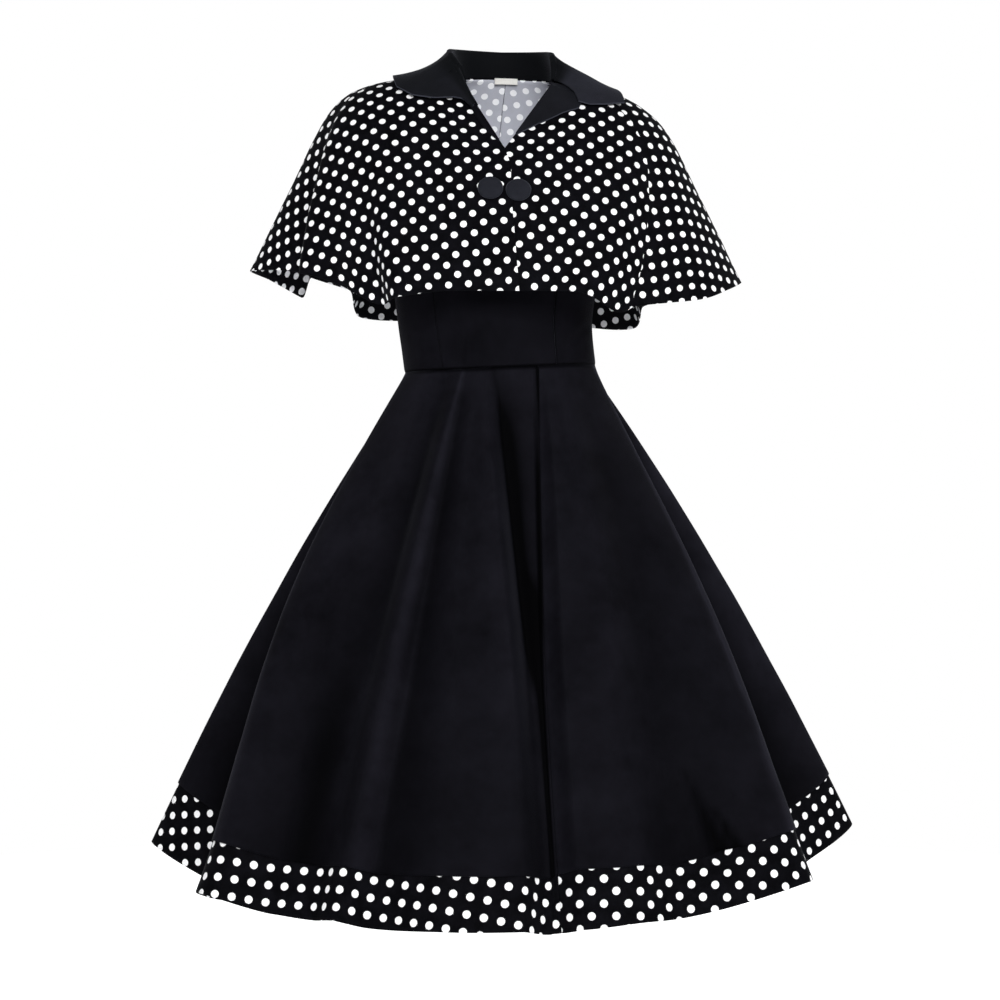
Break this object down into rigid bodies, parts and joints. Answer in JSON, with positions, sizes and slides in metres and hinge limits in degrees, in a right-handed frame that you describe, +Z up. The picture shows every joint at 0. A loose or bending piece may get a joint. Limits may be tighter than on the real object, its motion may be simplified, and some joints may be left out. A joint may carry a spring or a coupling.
{
  "type": "a-line dress with a capelet",
  "caption": "Knee-length dress with a fitted bodice, a full flared skirt with a spotted hem band, and a spotted capelet with a turned-down collar and covered buttons.",
  "frame": {"origin": "midway between the shoulders, level with the sides of the neck, where the wearer's shoulders carry the dress", "axes": "+Z up, the front faces -Y, +X towards the wearer's left"},
  "size_m": [0.9252, 0.7252, 1.093],
  "materials": {
    "spotted_cloth": "matt cotton with a fine weave, black with even white spots",
    "black_cloth": "smooth black cotton sateen with a soft sheen on the folds",
    "collar_cloth": "smooth blue-black cotton sateen, crisp at the edges",
    "button_cloth": "blue-black cloth stretched over a domed button",
    "label_tape": "blank white woven tape"
  },
  "bodies": {
    "root": {"cape_front_left": "spotted_cloth", "cape_front_right": "spotted_cloth", "cape_back_left": "spotted_cloth", "cape_back_right": "spotted_cloth", "hem_band_front_left": "spotted_cloth", "hem_band_front_right": "spotted_cloth", "hem_band_back_left": "spotted_cloth", "hem_band_back_right": "spotted_cloth", "collar": "collar_cloth", "lapel_left": "collar_cloth", "lapel_right": "collar_cloth", "button_left": "button_cloth", "button_right": "button_cloth", "neck_label": "label_tape", "bodice_front": "black_cloth", "bodice_side_left": "black_cloth", "bodice_side_right": "black_cloth", "bodice_back_left": "black_cloth", "bodice_back_right": "black_cloth", "strap_left": "black_cloth", "strap_right": "black_cloth", "skirt_front_left": "black_cloth", "skirt_front_right": "black_cloth", "skirt_back_left": "black_cloth", "skirt_back_right": "black_cloth"}
  },
  "joints": []
}
